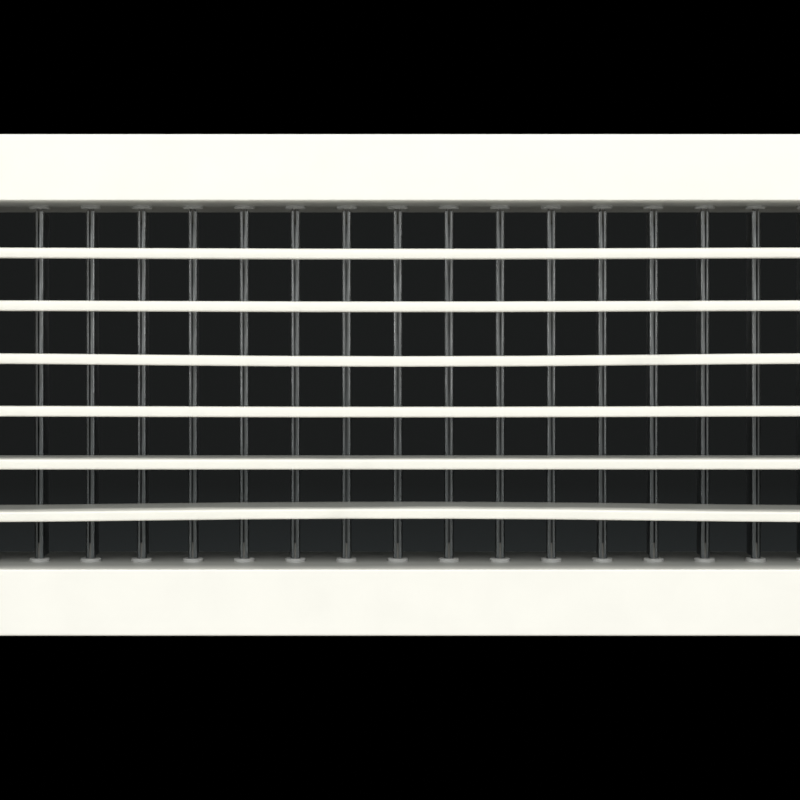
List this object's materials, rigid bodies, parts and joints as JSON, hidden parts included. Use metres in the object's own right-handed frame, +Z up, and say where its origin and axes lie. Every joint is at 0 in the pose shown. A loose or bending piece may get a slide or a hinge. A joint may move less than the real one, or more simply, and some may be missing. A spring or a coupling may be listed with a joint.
{
  "type": "double deflection grille",
  "caption": "Wall air grille with a flanged mitred frame, level front blades and upright rear blades, each turning on nylon bushes.",
  "frame": {"origin": "centre of the neck where it enters the wall: the middle of the opening, on the plane that the flange closes against", "axes": "+X along the width to the right seen from the room, +Y through the wall into the duct, +Z up"},
  "size_m": [0.4388, 0.058, 0.1888],
  "materials": {
    "frame_paint": "white powder coat, semi-gloss",
    "blade_paint": "white powder coat, semi-gloss",
    "rear_aluminium": "mill finish, extruded",
    "nylon": "moulded natural nylon",
    "bare_aluminium": "mill finish",
    "foam": "closed-cell foam strip"
  },
  "bodies": {
    "frame": {"frame_top": "frame_paint", "frame_bottom": "frame_paint", "frame_left": "frame_paint", "frame_right": "frame_paint", "corner_key_top_left": "bare_aluminium", "corner_key_top_right": "bare_aluminium", "corner_key_bottom_left": "bare_aluminium", "corner_key_bottom_right": "bare_aluminium", "gasket_top": "foam", "gasket_bottom": "foam", "gasket_left": "foam", "gasket_right": "foam", "front_bushes_left": "nylon", "front_bushes_right": "nylon", "rear_bushes_top": "nylon", "rear_bushes_bottom": "nylon"},
    "front_blade_1": {"front_blade_1": "blade_paint"},
    "front_blade_2": {"front_blade_2": "blade_paint"},
    "front_blade_3": {"front_blade_3": "blade_paint"},
    "front_blade_4": {"front_blade_4": "blade_paint"},
    "front_blade_5": {"front_blade_5": "blade_paint"},
    "front_blade_6": {"front_blade_6": "blade_paint"},
    "rear_blade_01": {"rear_blade_01": "rear_aluminium"},
    "rear_blade_02": {"rear_blade_02": "rear_aluminium"},
    "rear_blade_03": {"rear_blade_03": "rear_aluminium"},
    "rear_blade_04": {"rear_blade_04": "rear_aluminium"},
    "rear_blade_05": {"rear_blade_05": "rear_aluminium"},
    "rear_blade_06": {"rear_blade_06": "rear_aluminium"},
    "rear_blade_07": {"rear_blade_07": "rear_aluminium"},
    "rear_blade_08": {"rear_blade_08": "rear_aluminium"},
    "rear_blade_09": {"rear_blade_09": "rear_aluminium"},
    "rear_blade_10": {"rear_blade_10": "rear_aluminium"},
    "rear_blade_11": {"rear_blade_11": "rear_aluminium"},
    "rear_blade_12": {"rear_blade_12": "rear_aluminium"},
    "rear_blade_13": {"rear_blade_13": "rear_aluminium"},
    "rear_blade_14": {"rear_blade_14": "rear_aluminium"},
    "rear_blade_15": {"rear_blade_15": "rear_aluminium"},
    "rear_blade_16": {"rear_blade_16": "rear_aluminium"},
    "rear_blade_17": {"rear_blade_17": "rear_aluminium"},
    "rear_blade_18": {"rear_blade_18": "rear_aluminium"},
    "rear_blade_19": {"rear_blade_19": "rear_aluminium"}
  },
  "joints": [
    {"name": "front_blade_1_tilt", "type": "hinge", "parent": "frame", "child": "front_blade_1", "pos_m": [0, 0.001, 0.05], "axis": [1, 0, 0], "range_deg": [-45, 45]},
    {"name": "front_blade_2_tilt", "type": "hinge", "parent": "frame", "child": "front_blade_2", "pos_m": [0, 0.001, 0.03], "axis": [1, 0, 0], "range_deg": [-45, 45]},
    {"name": "front_blade_3_tilt", "type": "hinge", "parent": "frame", "child": "front_blade_3", "pos_m": [0, 0.001, 0.01], "axis": [1, 0, 0], "range_deg": [-45, 45]},
    {"name": "front_blade_4_tilt", "type": "hinge", "parent": "frame", "child": "front_blade_4", "pos_m": [0, 0.001, -0.01], "axis": [1, 0, 0], "range_deg": [-45, 45]},
    {"name": "front_blade_5_tilt", "type": "hinge", "parent": "frame", "child": "front_blade_5", "pos_m": [0, 0.001, -0.03], "axis": [1, 0, 0], "range_deg": [-51.5, 38.5]},
    {"name": "front_blade_6_tilt", "type": "hinge", "parent": "frame", "child": "front_blade_6", "pos_m": [0, 0.001, -0.05], "axis": [1, 0, 0], "range_deg": [-54, 36]},
    {"name": "rear_blade_01_turn", "type": "hinge", "parent": "frame", "child": "rear_blade_01", "pos_m": [-0.18, 0.021, 0], "axis": [0, 0, 1], "range_deg": [-45, 45]},
    {"name": "rear_blade_02_turn", "type": "hinge", "parent": "frame", "child": "rear_blade_02", "pos_m": [-0.16, 0.021, 0], "axis": [0, 0, 1], "range_deg": [-45, 45]},
    {"name": "rear_blade_03_turn", "type": "hinge", "parent": "frame", "child": "rear_blade_03", "pos_m": [-0.14, 0.021, 0], "axis": [0, 0, 1], "range_deg": [-45, 45]},
    {"name": "rear_blade_04_turn", "type": "hinge", "parent": "frame", "child": "rear_blade_04", "pos_m": [-0.12, 0.021, 0], "axis": [0, 0, 1], "range_deg": [-45, 45]},
    {"name": "rear_blade_05_turn", "type": "hinge", "parent": "frame", "child": "rear_blade_05", "pos_m": [-0.1, 0.021, 0], "axis": [0, 0, 1], "range_deg": [-45, 45]},
    {"name": "rear_blade_06_turn", "type": "hinge", "parent": "frame", "child": "rear_blade_06", "pos_m": [-0.08, 0.021, 0], "axis": [0, 0, 1], "range_deg": [-45, 45]},
    {"name": "rear_blade_07_turn", "type": "hinge", "parent": "frame", "child": "rear_blade_07", "pos_m": [-0.06, 0.021, 0], "axis": [0, 0, 1], "range_deg": [-45, 45]},
    {"name": "rear_blade_08_turn", "type": "hinge", "parent": "frame", "child": "rear_blade_08", "pos_m": [-0.04, 0.021, 0], "axis": [0, 0, 1], "range_deg": [-45, 45]},
    {"name": "rear_blade_09_turn", "type": "hinge", "parent": "frame", "child": "rear_blade_09", "pos_m": [-0.02, 0.021, 0], "axis": [0, 0, 1], "range_deg": [-45, 45]},
    {"name": "rear_blade_10_turn", "type": "hinge", "parent": "frame", "child": "rear_blade_10", "pos_m": [0, 0.021, 0], "axis": [0, 0, 1], "range_deg": [-45, 45]},
    {"name": "rear_blade_11_turn", "type": "hinge", "parent": "frame", "child": "rear_blade_11", "pos_m": [0.02, 0.021, 0], "axis": [0, 0, 1], "range_deg": [-45, 45]},
    {"name": "rear_blade_12_turn", "type": "hinge", "parent": "frame", "child": "rear_blade_12", "pos_m": [0.04, 0.021, 0], "axis": [0, 0, 1], "range_deg": [-45, 45]},
    {"name": "rear_blade_13_turn", "type": "hinge", "parent": "frame", "child": "rear_blade_13", "pos_m": [0.06, 0.021, 0], "axis": [0, 0, 1], "range_deg": [-45, 45]},
    {"name": "rear_blade_14_turn", "type": "hinge", "parent": "frame", "child": "rear_blade_14", "pos_m": [0.08, 0.021, 0], "axis": [0, 0, 1], "range_deg": [-45, 45]},
    {"name": "rear_blade_15_turn", "type": "hinge", "parent": "frame", "child": "rear_blade_15", "pos_m": [0.1, 0.021, 0], "axis": [0, 0, 1], "range_deg": [-45, 45]},
    {"name": "rear_blade_16_turn", "type": "hinge", "parent": "frame", "child": "rear_blade_16", "pos_m": [0.12, 0.021, 0], "axis": [0, 0, 1], "range_deg": [-45, 45]},
    {"name": "rear_blade_17_turn", "type": "hinge", "parent": "frame", "child": "rear_blade_17", "pos_m": [0.14, 0.021, 0], "axis": [0, 0, 1], "range_deg": [-45, 45]},
    {"name": "rear_blade_18_turn", "type": "hinge", "parent": "frame", "child": "rear_blade_18", "pos_m": [0.16, 0.021, 0], "axis": [0, 0, 1], "range_deg": [-45, 45]},
    {"name": "rear_blade_19_turn", "type": "hinge", "parent": "frame", "child": "rear_blade_19", "pos_m": [0.18, 0.021, 0], "axis": [0, 0, 1], "range_deg": [-45, 45]}
  ]
}
